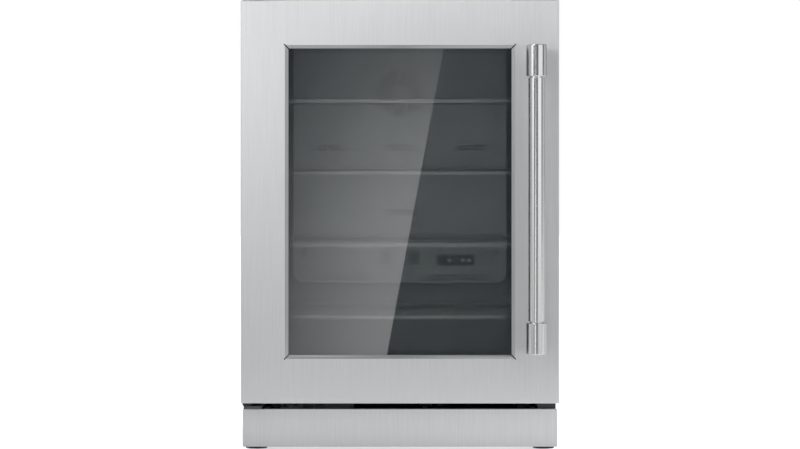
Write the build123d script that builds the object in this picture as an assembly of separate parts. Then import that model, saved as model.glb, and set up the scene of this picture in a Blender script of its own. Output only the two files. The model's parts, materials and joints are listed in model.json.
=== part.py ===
"""Undercounter refrigerator with a framed glass door, a bar handle and a toe kick.

Millimetres. +Z is up, the door faces -Y and its hinges are at -X. The origin is the centre of the bounding
box's bottom face, on the floor. Each sub-part is one function, and each node is one STEP file.
"""

import math
import os

from build123d import *

# ---------------------------------------------------------------- driving dimensions
OVERALL_HEIGHT = 867.0
DOOR_WIDTH, DOOR_HEIGHT, DOOR_THICKNESS = 606.0, 768.0, 46.0
CABINET_WIDTH = 599.0
BODY_DEPTH = 606.0  # door's front face to the cabinet's rear edge
HANDLE_REACH = 64.0  # door's front face to the front of the handle
GASKET_GAP = 10.0  # door's back to the cabinet's front flange
HINGE_PLATE, DOOR_TOP_GAP = 3.0, 1.5
WINDOW_WIDTH, WINDOW_HEIGHT, WINDOW_BEVEL = 438.0, 597.0, 6.4
SHELF_PITCH, SHELF_COUNT = 139.5, 4
DOOR_SHEET, CASE_SHEET, LINER_WALL, FOAM_WALL = 1.2, 1.0, 2.0, 46.5

# ---------------------------------------------------------------- places worked out from them
Y_BACK = (BODY_DEPTH + HANDLE_REACH) / 2
Y_DOOR = HANDLE_REACH - Y_BACK
Y_DOOR_BACK = Y_DOOR + DOOR_THICKNESS
Y_CASE = Y_DOOR_BACK + GASKET_GAP
Y_REAR_SHEET = Y_BACK - 3.0
Y_REAR_FACE = Y_REAR_SHEET + CASE_SHEET
CASE_TOP = OVERALL_HEIGHT - HINGE_PLATE
DOOR_TOP = CASE_TOP - DOOR_TOP_GAP
DOOR_BOTTOM = DOOR_TOP - DOOR_HEIGHT
DOOR_X, CASE_X = DOOR_WIDTH / 2, CABINET_WIDTH / 2
CASE_INNER_X = CASE_X - CASE_SHEET
LINER_X = CASE_INNER_X - FOAM_WALL - LINER_WALL
LINER_TOP = CASE_TOP - CASE_SHEET - FOAM_WALL - LINER_WALL
LINER_FLOOR = 147.5
LINER_REAR = 256.0
HUMP_FRONT, HUMP_TOP = 110.0, 240.0
HUMP_FOAM = 40.0
LINER_CORNER_R, LINER_FOLD_R = 12.0, 6.0
SILL_RIBS, SILL_RIB_PITCH, SILL_RIB_Z, SILL_RIB = 14, 26.0, 169.0, (17.0, 5.0, 3.0)
TRAY_Z, TRAY_SHEET = 25.0, 2.0
TRAY_TOP = TRAY_Z + TRAY_SHEET
UNDERSIDE_Z = 104.0
BAY_FRONT, BAY_TOP = HUMP_FRONT + LINER_WALL + HUMP_FOAM, HUMP_TOP - LINER_WALL - HUMP_FOAM
WINDOW_TOP = DOOR_TOP - (DOOR_WIDTH - WINDOW_WIDTH) / 2 - 1.5
WINDOW_Z = (WINDOW_TOP - WINDOW_HEIGHT, WINDOW_TOP)
GLASS_SHEET, GLASS_CAVITY, GLASS_EDGE = 4.0, 12.0, 18.0
Y_GLASS = Y_DOOR + 7.0
Y_GLASS_BACK = Y_GLASS + 2 * GLASS_SHEET + GLASS_CAVITY
TOP_SHELF = LINER_TOP - SHELF_PITCH
SHELF_TOPS = [TOP_SHELF - i * SHELF_PITCH for i in range(SHELF_COUNT)]
COVER_FRONT, COVER_X, COVER_Z = 199.0, 221.5, (299.7, 806.0)

# Handle: one bar between two cast end mounts.
BAR_R, MOUNT_R, MOUNT_LENGTH = 15.5, 19.25, 61.0
BAR_NECK, BAR_NECK_DEPTH = 2.2, 3.0
POST_LONG, POST_WIDE = 48.0, 27.0
HANDLE_X, HANDLE_Z = 257.5, (191.0, 777.0)
Y_HANDLE = -Y_BACK + MOUNT_R

# Hinge line, measured in from the door's side and back.
HINGE_X, HINGE_Y = 12.0 - DOOR_X, Y_DOOR_BACK - 28.0
PIN_R, PIN_DEPTH, PIN_CLEARANCE = 4.0, 17.0, 0.05
BUSH_R, BUSH_LENGTH, COLLAR_STEP = 7.0, 20.0, 3.0
TONGUE_Z, TONGUE_GAP = (84.0, 89.0), 0.2
HINGE_INSET, ANGLE_BOTTOM = 3.0, 42.0
HINGE_PLATE_X, HINGE_PLATE_REAR = -222.0, -122.0
HINGE_NOTCH_X = (-262.0, -200.0)
STRAP_X, STRAP_FRONT = 215.0, -226.0
COUNTER_HOLES, COUNTER_HOLE_Y, COUNTER_HOLE_R = (230.0, 280.0), Y_CASE - 5.0, 2.25

# Screws: countersunk in the plates on top, pan heads at the rear and in the duct cover.
HINGE_SCREWS = [(-284, -190), (-284, -140), (-235, -190), (-235, -140)]
STRAP_SCREWS = [(240, -190), (240, -140), (284, -190)]
TOP_SCREW_LENGTH, TOP_SCREW_R, TOP_HEAD_R, TOP_HEAD_DEPTH = 14.0, 2.4, 4.6, 2.2
CROSS_LENGTH, CROSS_WIDTH, CROSS_DEPTH = 4.4, 0.9, 1.1
REAR_SCREWS = [(x, z) for x in (-285, 0, 285) for z in (36, 188)] + [(x, 212) for x in (-285, 285)]
REAR_SCREWS += [(x, 850) for x in (-285, 0, 285)]
REAR_SCREW_R, REAR_SCREW_LENGTH, REAR_HEAD_R, REAR_HEAD_DEPTH = 2.0, 8.0, 3.8, 1.8
VENT_ROWS, VENT_COLUMNS, VENT_X, VENT_Z, VENT_PITCH, VENT_SLOT = 7, 5, -126.0, 62.0, (70.0, 17.0), (52.0, 7.0)

# Toe kick and levelling legs.
KICK_WIDTH, KICK_Z, KICK_RECESS = 604.0, (7.5, 80.4), 45.0
KICK_DEPTH, KICK_EDGE_R = 7.0, 1.4
CLIP_X, CLIP_Z, CLIP_THICKNESS = (270.0, 292.0), (28.0, 40.0), 2.0
LEG_X, LEG_Y = 278.0, (-169.5, 290.0)
PAD_R, PAD_HEIGHT, LEG_HEX_R, LEG_HEX_TOP = 21.0, 8.0, 10.0, 17.0
STUD_R, STUD_Z, STUD_PLAY = 5.0, (5.0, 74.0), 1.0
NUT_FLANGE_R, NUT_FLANGE, NUT_HEX_R, NUT_HEIGHT = 11.0, 2.0, 9.8, 8.0
POST_WIDTH, POST_REAR, POST_SHEET = 35.0, -190.0, 2.0
TRAY_WALL_TOP, TRAY_WALL_FRONT = 60.0, -188.0

# Air ducts' cover, seen through the door.
FAN_Z, FAN_R, FAN_HUB_R, FAN_BLADES, FAN_DEPTH, FAN_FRONT = 692.7, 38.0, 12.0, 5, 16.0, 206.0
GRILLE_RINGS, GRILLE_FIRST_R, GRILLE_PITCH, GRILLE_SLOT = 7, 19.0, 4.6, 2.4
GRILLE_SPOKES, SPOKE_WIDTH = 8, 5.2
SLOT_LENGTH, SLOT_GAP, SLOT_HEIGHT, SLOT_PITCH = 27.0, 3.6, 3.4, 7.0
COVER_WALL, COVER_CORNER_R, COVER_EDGE_R = 2.0, 22.0, 3.0
COVER_SCREWS = [(-199, 694), (199, 645), (-199, 363), (199, 363), (-70, 749), (70, 749)]
COVER_SCREW_R, COVER_SCREW_LENGTH, COVER_HEAD_R, COVER_HEAD_DEPTH, BOSS_R = 2.0, 22.0, 4.5, 2.2, 5.5
COVER_CROSS = (5.0, 1.0)
# Each group of slots: centre x and z, slots in a row, rows.
COVER_SLOTS = [(-147, 580.5, 2, 2), (0, 580.5, 2, 2), (147, 580.5, 2, 2), (0, 446.5, 2, 2)]
COVER_SLOTS += [(-29.5, 352.3, 1, 4), (29.5, 352.3, 1, 4), (-123.5, 312.3, 4, 2), (123.5, 312.3, 4, 2)]
PANEL_X, PANEL_Z, PANEL_SIZE, PANEL_DEPTH = 114.5, 347.7, (77.6, 22.5), 4.0
DISPLAY_X, DISPLAY_HALF_HEIGHT, DISPLAY_DEPTH = (111.0, 123.0), 5.0, 0.8
BUTTONS = {"power": 102.4, "colder": 130.0, "warmer": 143.0}
BUTTON_R, BUTTON_TRAVEL, BUTTON_PROUD, BUTTON_PLAY, BUTTON_REST_GAP = 3.4, 0.8, 1.2, 0.3, 0.4
STEM_R, STEM_HOLE_R, STEM_REACH = 2.2, 2.6, 3.5

# Evaporator, its fan and the lamp.
COIL_ROWS, COIL_PITCH, COIL_HALF, COIL_LOW, COIL_TUBE_R = 6, 34.0, 160.0, 420.0, 4.0
COIL_COLUMNS, COIL_FIN_Y, COIL_END_X = (217.0, 241.0), (206.0, 252.0), 156.0
COIL_FINS, COIL_FIN_PITCH, COIL_FIN_MARGIN = 17, 18.0, 15.0
FIN_SHEET, END_PLATE = 0.8, 1.6
FAN_BLADE_PITCH, FAN_BLADE_SHEET, FAN_BORE_FLOOR = 32.0, 1.6, 4.0
EVAPORATOR_MOTOR_Y, EVAPORATOR_MOTOR_R, MOTOR_LEG_PLACE, MOTOR_LEG_R = (226.0, 244.0), 16.0, 48.0, 4.0
FAN_SHAFT_TIP, EVAPORATOR_SHAFT_R = 212.0, 2.5
LIGHT_HALF, LIGHT_Y, LIGHT_DEPTH, LIGHT_WALL = 150.0, (-192.0, -166.0), 8.0, 4.0
LENS_SEAT, LENS_GAP, LENS_PROUD, LENS_THICKNESS = 3.0, 0.3, 0.6, 3.0

# Shelves and the ledges that carry them.
SHELF_GLASS_HALF, SHELF_GLASS_Y, SHELF_GLASS_Z = 243.0, (-181.0, 186.0), (-5.0, -1.0)
SHELF_TRIM_HALF, SHELF_FRONT_Y, SHELF_REAR_Y = 246.0, (-185.0, -174.0), (180.0, 190.0)
SHELF_FRONT_HEIGHT, SHELF_REAR_DROP, SHELF_REAR_RISE = 7.0, 6.0, 3.0
LEDGE_X, LEDGE_Y, LEDGE_Z = 236.0, (-206.0, 192.0), (-11.0, -7.3)
STOP_X, STOP_FRONT, STOP_TOP = 240.0, -210.0, -3.0

# Meltwater drain.
DRAIN_X, DRAIN_Y, DRAIN_R, DRAIN_WALL, DRAIN_LOW, DRAIN_PLAY = -10.0, 246.0, 7.0, 1.5, 62.0, 0.3

# Machine bay.
COMPRESSOR_X, COMPRESSOR_Y, COMPRESSOR_R, COMPRESSOR_Z = 150.0, 246.0, 68.0, (48.0, 176.0)
COMPRESSOR_DOME_R, SEAM_Z, SEAM_PROUD = 26.0, (118.0, 122.0), 2.0
FOOT_PLATE, FOOT_PLATE_Z, FOOT_CORNER_R = (92.0, 76.0), (44.0, 49.0), 14.0
STUB_Z, STUB_REACH, STUB_R, STUB_SIDE = 150.0, 82.0, 4.0, 30.0
GROMMET_SIDE, GROMMET_R, GROMMET_NECK_R = (78.0, 62.0), 11.0, 5.8
RELAY_X, RELAY_Y, RELAY_Z = (26.0, 30.0), (2.0, 46.0), (70.0, 112.0)
GLAND_X, GLAND_Z, GLAND_R, CORD_HOLE_R = 262.0, 60.0, 8.5, 4.0
GLAND_RIM, GLAND_INSIDE = 2.5, 3.0
CONDENSER_X, CONDENSER_FAN_X, CONDENSER_Z, CONDENSER_Y = -225.0, -165.0, 112.0, 246.0
CONDENSER_FAN_HUB_R, CONDENSER_FAN_BLADES = 19.0, 6
CONDENSER_FAN_R, CONDENSER_FAN_DEPTH, SHROUD_RIM, SHROUD_CLEARANCE = 58.0, 20.0, 6.0, 3.0
SHROUD_X, CONDENSER_MOTOR_PLACE, CONDENSER_SHAFT_R = (16.0, 12.0), 14.0, 3.0
CONDENSER_MOTOR_R, CONDENSER_MOTOR_LENGTH, CONDENSER_BAR_HALF = 24.0, 32.0, 7.0
CONDENSER_ROWS, CONDENSER_PITCH, CONDENSER_HALF = 7, 20.0, 62.0
CONDENSER_LOW, CONDENSER_SPREAD, CONDENSER_TUBE_R = 50.0, 22.0, 3.5
CONDENSER_FINS, CONDENSER_FIN_PITCH, CONDENSER_FIN_HALF, CONDENSER_END_Y = 12, 9.0, 21.0, 57.0
PAN_X, PAN_Y, PAN_TOP, PAN_WALL, PAN_CORNER_R = (-95.0, 45.0), (172.0, 318.0), 58.0, 2.0, 12.0
DRIER_X, DRIER_Z, DRIER_R = -70.0, (96.0, 146.0), 9.0
PIPE_TOP_Z, CAPILLARY_Z = 190.0, 76.0

# Door.
FRAME_PLATE, FRAME_INSET, SKIN_EDGE_R = 4.0, 1.5, 2.2
MITRE_WIDTH, MITRE_IN = 2.2, 3.0
SPACER_WIDTH, GLASS_LIP = 12.0, 3.0
GASKET_X, GASKET_Z, GASKET_WIDTH, GASKET_PLAY = 284.0, (108.0, 851.0), 15.0, 0.4
FAR = 900.0  # longer than the cabinet, for cuts that go right through

NODES = {}


def box(x, y, z):
    """A block between the two ends given on each axis."""
    size = [hi - lo for lo, hi in (x, y, z)]
    middle = [(hi + lo) / 2 for lo, hi in (x, y, z)]
    return Pos(*middle) * Box(*size)


def sides(half):
    return (-half, half)


def rod(axis, centre, span, radius):
    """A cylinder along X, Y or Z. centre gives the other two coordinates, in order."""
    lo, hi = span
    turn = {"x": Rot(0, 90, 0), "y": Rot(90, 0, 0), "z": Rot(0, 0, 0)}[axis]
    a, b = centre
    mid = (lo + hi) / 2
    place = {"x": (mid, a, b), "y": (a, mid, b), "z": (a, b, mid)}[axis]
    return Pos(*place) * turn * Cylinder(radius, hi - lo)


def slab(sketch, y, depth):
    """Extrudes a sketch, drawn in X and Z about the origin, from y towards +Y."""
    return extrude(Plane((0, y, 0), x_dir=(1, 0, 0), z_dir=(0, -1, 0)) * sketch, depth, dir=(0, 1, 0))


def rounded(x, z, radius, y, depth):
    """A plate in the XZ plane with rounded corners."""
    shape = Pos((x[0] + x[1]) / 2, (z[0] + z[1]) / 2) * RectangleRounded(x[1] - x[0], z[1] - z[0], radius)
    return slab(shape, y, depth)


def upright_edges(shape):
    return shape.edges().filter_by(Axis.Z)


def rims(shape):
    return shape.edges().filter_by(GeomType.CIRCLE)


def front_edges(shape):
    return shape.edges().group_by(Axis.Y)[0]


def joined(parts):
    """One solid from touching pieces."""
    whole = parts[0]
    for p in parts[1:]:
        whole = whole + p
    return whole


def less(shape, cutters):
    for c in cutters:
        shape = shape - c
    return shape


def node(name, *shapes):
    """Keeps the separate solids of a node, to be written as one STEP file."""
    NODES[name] = [s for shape in shapes for s in shape.solids()]


# ---------------------------------------------------------------- cabinet case
def top_screw_cuts():
    """The room that the countersunk screws on the cabinet's top take."""
    bottom = OVERALL_HEIGHT - TOP_SCREW_LENGTH
    for place in HINGE_SCREWS + STRAP_SCREWS:
        yield rod("z", place, (bottom, OVERALL_HEIGHT), TOP_SCREW_R)


def top_screw_head(x, y):
    return Pos(x, y, OVERALL_HEIGHT - TOP_HEAD_DEPTH / 2) * Cone(TOP_SCREW_R, TOP_HEAD_R, TOP_HEAD_DEPTH)


def top_screws():
    """Countersunk screws, with a cross recess, flush with the plates that they hold."""
    for x, y in HINGE_SCREWS + STRAP_SCREWS:
        shank = rod("z", (x, y), (OVERALL_HEIGHT - TOP_SCREW_LENGTH, OVERALL_HEIGHT), TOP_SCREW_R)
        bars = (CROSS_LENGTH, CROSS_WIDTH), (CROSS_WIDTH, CROSS_LENGTH)
        cross = [Pos(x, y, OVERALL_HEIGHT) * Box(*bar, 2 * CROSS_DEPTH) for bar in bars]
        yield less(shank + top_screw_head(x, y), cross)


def countersunk(plate, places):
    for x, y in places:
        plate -= rod("z", (x, y), (CASE_TOP - 1, OVERALL_HEIGHT), TOP_SCREW_R)
        plate -= top_screw_head(x, y)
    return plate


def side_panel(sign):
    """A painted steel side, folded in at the front to meet the door's gasket."""
    plate = box(sorted((sign * CASE_X, sign * CASE_INNER_X)), (Y_CASE, Y_BACK), (TRAY_Z, CASE_TOP - CASE_SHEET))
    flange_x = sorted((sign * CASE_X, sign * LINER_X))
    flange = box(flange_x, (Y_CASE, Y_CASE + CASE_SHEET), (DOOR_BOTTOM, CASE_TOP - CASE_SHEET))
    return plate + flange


def top_panel():
    plate = box(sides(CASE_X), (Y_CASE, Y_BACK), (CASE_TOP - CASE_SHEET, CASE_TOP))
    flange = box(sides(LINER_X), (Y_CASE, Y_CASE + CASE_SHEET), (LINER_TOP, CASE_TOP))
    return less(plate + flange, top_screw_cuts())


def underside_panel():
    """Folded sheet below the foam: front flange, floor, machine bay's front wall and ceiling."""
    y0, y1 = Y_CASE, Y_CASE + CASE_SHEET
    flange = box(sides(LINER_X), (y0, y1), (DOOR_BOTTOM, LINER_FLOOR))
    floor_top = UNDERSIDE_Z + CASE_SHEET
    floor = box(sides(CASE_INNER_X), (y1, BAY_FRONT + CASE_SHEET), (UNDERSIDE_Z, floor_top))
    neck = box(sides(LINER_X), (y0, y1 + 1), (UNDERSIDE_Z, floor_top))
    bay_x = sides(LINER_X + LINER_WALL)
    wall = box(bay_x, (BAY_FRONT, BAY_FRONT + CASE_SHEET), (UNDERSIDE_Z, BAY_TOP))
    ceiling = box(bay_x, (BAY_FRONT, Y_REAR_SHEET), (BAY_TOP - CASE_SHEET, BAY_TOP))
    return joined([flange, neck, floor, wall, ceiling]) - drain_path(2 * DRAIN_PLAY)


def back_panel():
    return box(sides(CASE_INNER_X), (Y_REAR_SHEET, Y_REAR_FACE), (BAY_TOP, CASE_TOP - CASE_SHEET))


def rear_screws():
    """Pan-head screws that hold the back panel and the machine cover."""
    for place in REAR_SCREWS:
        shank = rod("y", place, (Y_REAR_FACE - REAR_SCREW_LENGTH, Y_REAR_FACE), REAR_SCREW_R)
        yield shank + rod("y", place, (Y_REAR_FACE, Y_REAR_FACE + REAR_HEAD_DEPTH), REAR_HEAD_R)


def rear_screw_cuts():
    for place in REAR_SCREWS:
        yield rod("y", place, (Y_REAR_SHEET - REAR_SCREW_LENGTH, Y_BACK), REAR_SCREW_R)


def machine_cover():
    """Rear cover of the machine bay, with rows of air slots and a hole for the cord's gland."""
    plate = box(sides(CASE_INNER_X), (Y_REAR_SHEET, Y_REAR_FACE), (TRAY_TOP, BAY_TOP))
    slots = Sketch()
    for row in range(VENT_ROWS):
        for column in range(VENT_COLUMNS):
            slots += Pos(VENT_X + VENT_PITCH[0] * column, VENT_Z + VENT_PITCH[1] * row) * SlotOverall(*VENT_SLOT)
    cut = slab(slots, Y_REAR_SHEET - 1, CASE_SHEET + 2)
    gland = rod("y", (GLAND_X, GLAND_Z), (Y_REAR_SHEET - 1, Y_BACK), GLAND_R)
    return less(plate - cut - gland, rear_screw_cuts())


def base_tray():
    """Galvanised chassis under the machine bay, folded up at the sides, with four leg holes."""
    plate = box(sides(CASE_INNER_X), (Y_CASE + TRAY_SHEET, Y_REAR_SHEET), (TRAY_Z, TRAY_TOP))
    walls = [box(sorted((s * (CASE_INNER_X - TRAY_SHEET), s * CASE_INNER_X)),
                 (TRAY_WALL_FRONT, Y_REAR_SHEET), (TRAY_Z, TRAY_WALL_TOP)) for s in (-1, 1)]
    holes = [rod("z", (x, y), (TRAY_Z - 1, TRAY_TOP + 1), STUD_R + STUD_PLAY) for x in sides(LEG_X) for y in LEG_Y]
    return less(joined([plate] + walls), holes)


def front_post(sign):
    """Folded steel post that carries the cabinet's front corner on the tray, open to the rear."""
    x = sorted((sign * CASE_INNER_X, sign * (CASE_X - POST_WIDTH)))
    solid = box(x, (Y_CASE, POST_REAR), (TRAY_TOP, DOOR_BOTTOM))
    hollow = box((x[0] + POST_SHEET, x[1] - POST_SHEET), (Y_CASE + POST_SHEET, POST_REAR + 1),
                 (TRAY_Z, DOOR_BOTTOM + 1))
    cap = box(x, (Y_CASE + CASE_SHEET, POST_REAR), (DOOR_BOTTOM - POST_SHEET, UNDERSIDE_Z))
    return solid - hollow + cap


def insulation():
    """Foam blocks that meet face to face between the liner and the steel case."""
    front, inner_x = Y_CASE + CASE_SHEET, LINER_X + LINER_WALL
    top, liner_top = CASE_TOP - CASE_SHEET, LINER_TOP + LINER_WALL
    low = UNDERSIDE_Z + CASE_SHEET
    liner_back = LINER_REAR + LINER_WALL
    hump_front, hump_top = HUMP_FRONT + LINER_WALL, HUMP_TOP - LINER_WALL
    blocks = [box(sorted((s * inner_x, s * CASE_INNER_X)), (front, Y_REAR_SHEET), (low, top)) for s in (-1, 1)]
    blocks += [
        box(sides(inner_x), (front, liner_back), (liner_top, top)),
        box(sides(inner_x), (liner_back, Y_REAR_SHEET), (hump_top, top)),
        box(sides(inner_x), (front, hump_front), (low, LINER_FLOOR - LINER_WALL)),
        box(sides(inner_x), (hump_front, BAY_FRONT), (low, hump_top)),
        box(sides(inner_x), (BAY_FRONT, Y_REAR_SHEET), (BAY_TOP, hump_top)),
    ]
    cuts = list(top_screw_cuts()) + list(rear_screw_cuts()) + [drain_path(DRAIN_PLAY)]
    return [less(b, cuts) for b in blocks]


def inner_liner():
    """Vacuum-formed liner, open at the front, with a hump over the machine bay and a ribbed sill on it."""
    y0 = Y_CASE + CASE_SHEET
    outer_x = LINER_X + LINER_WALL
    outer = rounded(sides(outer_x), (LINER_FLOOR - LINER_WALL, LINER_TOP + LINER_WALL),
                    LINER_CORNER_R + LINER_WALL, y0, LINER_REAR + LINER_WALL - y0)
    outer -= box(sides(FAR), (HUMP_FRONT + LINER_WALL, FAR), (0, HUMP_TOP - LINER_WALL))
    hollow = rounded(sides(LINER_X), (LINER_FLOOR, LINER_TOP), LINER_CORNER_R, y0 - 1, LINER_REAR - y0 + 1)
    hollow -= box(sides(FAR), (HUMP_FRONT, FAR), (0, HUMP_TOP))
    hollow = fillet(hollow.edges().filter_by(Axis.X), LINER_FOLD_R)
    middle = (SILL_RIBS - 1) / 2
    ribs = [Pos((i - middle) * SILL_RIB_PITCH, HUMP_FRONT - 2, SILL_RIB_Z) * Box(*SILL_RIB)
            for i in range(SILL_RIBS)]
    return joined([outer - hollow] + ribs) - drain_path(DRAIN_PLAY)


# ---------------------------------------------------------------- inside the cabinet
def slot_row(x, z, count, rows):
    """Rows of short air slots, count in a row, centred on x and z."""
    pitch = SLOT_LENGTH + SLOT_GAP
    found = Sketch()
    for r in range(rows):
        for c in range(count):
            place = Pos(x + (c - (count - 1) / 2) * pitch, z + (r - (rows - 1) / 2) * SLOT_PITCH)
            found += place * SlotOverall(SLOT_LENGTH, SLOT_HEIGHT)
    return found


def fan_slots():
    """Rings of arc slots in front of the fan, between its spokes."""
    found = Sketch()
    step = 360 / GRILLE_SPOKES
    for ring in range(GRILLE_RINGS):
        radius = GRILLE_FIRST_R + GRILLE_PITCH * ring
        spoke = math.degrees(SPOKE_WIDTH / radius)
        for s in range(GRILLE_SPOKES):
            start = (s + 0.5) * step + spoke / 2
            found += SlotArc(CenterArc((0, 0), radius, start, step - spoke), GRILLE_SLOT)
    return Pos(0, FAN_Z) * found


def duct_cover():
    """Moulded tray over the evaporator, with air slots, a fan grille, screw bosses and button holes."""
    depth = LINER_REAR - COVER_FRONT
    back_of_face = COVER_FRONT + COVER_WALL
    outer = rounded(sides(COVER_X), COVER_Z, COVER_CORNER_R, COVER_FRONT, depth)
    outer = fillet(front_edges(outer), COVER_EDGE_R)
    hollow = rounded(sides(COVER_X - COVER_WALL), (COVER_Z[0] + COVER_WALL, COVER_Z[1] - COVER_WALL),
                     COVER_CORNER_R - COVER_WALL, back_of_face, depth)
    bosses = [rod("y", place, (back_of_face, LINER_REAR), BOSS_R) for place in COVER_SCREWS]
    slots = fan_slots()
    for x, z, count, rows in COVER_SLOTS:
        slots += slot_row(x, z, count, rows)
    cover = joined([outer - hollow] + bosses) - slab(slots, COVER_FRONT - 1, COVER_WALL + 2)
    screw_span = (COVER_FRONT - 1, COVER_FRONT + COVER_SCREW_LENGTH + 2)
    cover = less(cover, [rod("y", place, screw_span, COVER_SCREW_R) for place in COVER_SCREWS])
    stem_span = (COVER_FRONT - 1, back_of_face + 1)
    return less(cover, [rod("y", (x, PANEL_Z), stem_span, STEM_HOLE_R) for x in BUTTONS.values()])


def cover_screws():
    """Pan-head screws with a cross recess, one in each boss."""
    top = COVER_FRONT - COVER_HEAD_DEPTH
    bars = (COVER_CROSS[0], COVER_HEAD_DEPTH, COVER_CROSS[1]), (COVER_CROSS[1], COVER_HEAD_DEPTH, COVER_CROSS[0])
    for x, z in COVER_SCREWS:
        shank = rod("y", (x, z), (COVER_FRONT, COVER_FRONT + COVER_SCREW_LENGTH), COVER_SCREW_R)
        head = rod("y", (x, z), (top, COVER_FRONT), COVER_HEAD_R)
        yield less(head + shank, [Pos(x, top, z) * Box(*bar) for bar in bars])


def control_fascia():
    """Raised bezel on the duct cover, with a hole for each button and a display recess."""
    half_w, half_h = PANEL_SIZE[0] / 2, PANEL_SIZE[1] / 2
    front = COVER_FRONT - PANEL_DEPTH
    plate = rounded((PANEL_X - half_w, PANEL_X + half_w), (PANEL_Z - half_h, PANEL_Z + half_h), 3, front, PANEL_DEPTH)
    plate = fillet(front_edges(plate), 1)
    display_z = (PANEL_Z - DISPLAY_HALF_HEIGHT, PANEL_Z + DISPLAY_HALF_HEIGHT)
    display = box(DISPLAY_X, (front - 1, front + DISPLAY_DEPTH), display_z)
    return less(plate - display, [rod("y", (x, PANEL_Z), (front - 1, COVER_FRONT), BUTTON_R + BUTTON_PLAY)
                                  for x in BUTTONS.values()])


def button(x):
    """A push button: a domed cap in the fascia and a stem through the cover."""
    front = COVER_FRONT - PANEL_DEPTH - BUTTON_PROUD
    back = COVER_FRONT - BUTTON_TRAVEL - BUTTON_REST_GAP
    cap = rod("y", (x, PANEL_Z), (front, back), BUTTON_R)
    cap = fillet(front_edges(cap), 0.8)
    return cap + rod("y", (x, PANEL_Z), (back - 1, COVER_FRONT + STEM_REACH), STEM_R)


def serpentine(rows, pitch, half, radius):
    """A tube in the XZ plane that runs to and fro, from the bottom up. The first half ring is at -X."""
    pieces = []
    for i in range(rows):
        z = i * pitch
        pieces.append(rod("x", (0, z), sides(half), radius))
        if i < rows - 1:
            side = -half if i % 2 == 0 else half
            ring = Pos(side, 0, z + pitch / 2) * Rot(90, 0, 0) * Torus(pitch / 2, radius)
            outside = sorted((side, side + math.copysign(pitch, side)))
            pieces.append(ring & box(outside, sides(pitch), (z - pitch, z + 2 * pitch)))
    return joined(pieces)


def crossover(x, pitch, radius):
    """A half ring in the XY plane that joins two columns of a coil at their first row."""
    ring = Pos(x, pitch / 2, 0) * Torus(pitch / 2, radius)
    return ring & box((x, x + pitch), (-pitch, 2 * pitch), sides(pitch))


def evaporator_coil():
    """Tube-and-fin coil behind the duct cover: two serpentine tubes through thin fins."""
    rows = [COIL_LOW + i * COIL_PITCH for i in range(COIL_ROWS)]
    span = (rows[0] - COIL_FIN_MARGIN, rows[-1] + COIL_FIN_MARGIN)
    runs = [Pos(0, y, COIL_LOW) * serpentine(COIL_ROWS, COIL_PITCH, COIL_HALF, COIL_TUBE_R) for y in COIL_COLUMNS]
    bend = crossover(COIL_HALF, COIL_COLUMNS[1] - COIL_COLUMNS[0], COIL_TUBE_R)
    bend = Pos(0, COIL_COLUMNS[0], COIL_LOW) * bend
    holes = [rod("x", (y, z), sides(COIL_HALF + 1), COIL_TUBE_R) for y in COIL_COLUMNS for z in rows]
    middle = (COIL_FINS - 1) / 2
    fins = [Pos((i - middle) * COIL_FIN_PITCH, 0, 0) * box(sides(FIN_SHEET / 2), COIL_FIN_Y, span)
            for i in range(COIL_FINS)]
    ends = [Pos(x, 0, 0) * box(sides(END_PLATE / 2), (COIL_FIN_Y[0], LINER_REAR), span) for x in sides(COIL_END_X)]
    return [joined(runs + [bend])] + [less(f, holes) for f in fins + ends]


def evaporator_fan_motor():
    """Motor can on a three-legged bracket that stands on the liner's rear wall."""
    front, back = EVAPORATOR_MOTOR_Y
    can = rod("y", (0, FAN_Z), (front, back), EVAPORATOR_MOTOR_R)
    shaft = rod("y", (0, FAN_Z), (FAN_SHAFT_TIP, front), EVAPORATOR_SHAFT_R)
    legs = []
    for angle in (90, 210, 330):
        x = MOTOR_LEG_PLACE * math.cos(math.radians(angle))
        z = MOTOR_LEG_PLACE * math.sin(math.radians(angle))
        legs.append(rod("y", (x, FAN_Z + z), (back - MOTOR_LEG_R, LINER_REAR), MOTOR_LEG_R))
        arm = Pos(x / 2, back - MOTOR_LEG_R / 2, FAN_Z + z / 2) * Rot(0, -angle, 0)
        legs.append(arm * Box(MOTOR_LEG_PLACE, MOTOR_LEG_R, 2 * MOTOR_LEG_R))
    return joined([can, shaft] + legs)


def fan(radius, hub_r, blades, depth, shaft_r):
    """A fan about +Y: a cupped hub with a blind shaft hole, and pitched blades. y runs from 0 to depth."""
    hub = rod("y", (0, 0), (0, depth), hub_r)
    hub = fillet(front_edges(hub), 2)
    pieces = [hub]
    root = hub_r - 2
    chord = 0.62 * radius
    for i in range(blades):
        blade = Rot(FAN_BLADE_PITCH, 0, 0) * Box(radius - root, FAN_BLADE_SHEET, chord)
        blade = Pos((root + radius) / 2, depth / 2, 0) * blade
        tips = rod("y", (0, 0), (-depth, 2 * depth), radius)
        trimmed = blade & tips & box(sides(FAR), (0, depth), sides(FAR))
        pieces.append(Rot(0, i * 360 / blades, 0) * trimmed)
    return joined(pieces) - rod("y", (0, 0), (FAN_BORE_FLOOR, depth + 1), shaft_r + PIN_CLEARANCE)


def light_housing():
    """Ceiling lamp body, open below for its lens."""
    y = (LIGHT_Y[0] + LIGHT_WALL, LIGHT_Y[1] - LIGHT_WALL)
    body = box(sides(LIGHT_HALF), LIGHT_Y, (LINER_TOP - LIGHT_DEPTH, LINER_TOP))
    return body - box(sides(LIGHT_HALF - LIGHT_WALL), y, (LINER_TOP - LIGHT_DEPTH - 1, LINER_TOP - LENS_SEAT))


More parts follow.
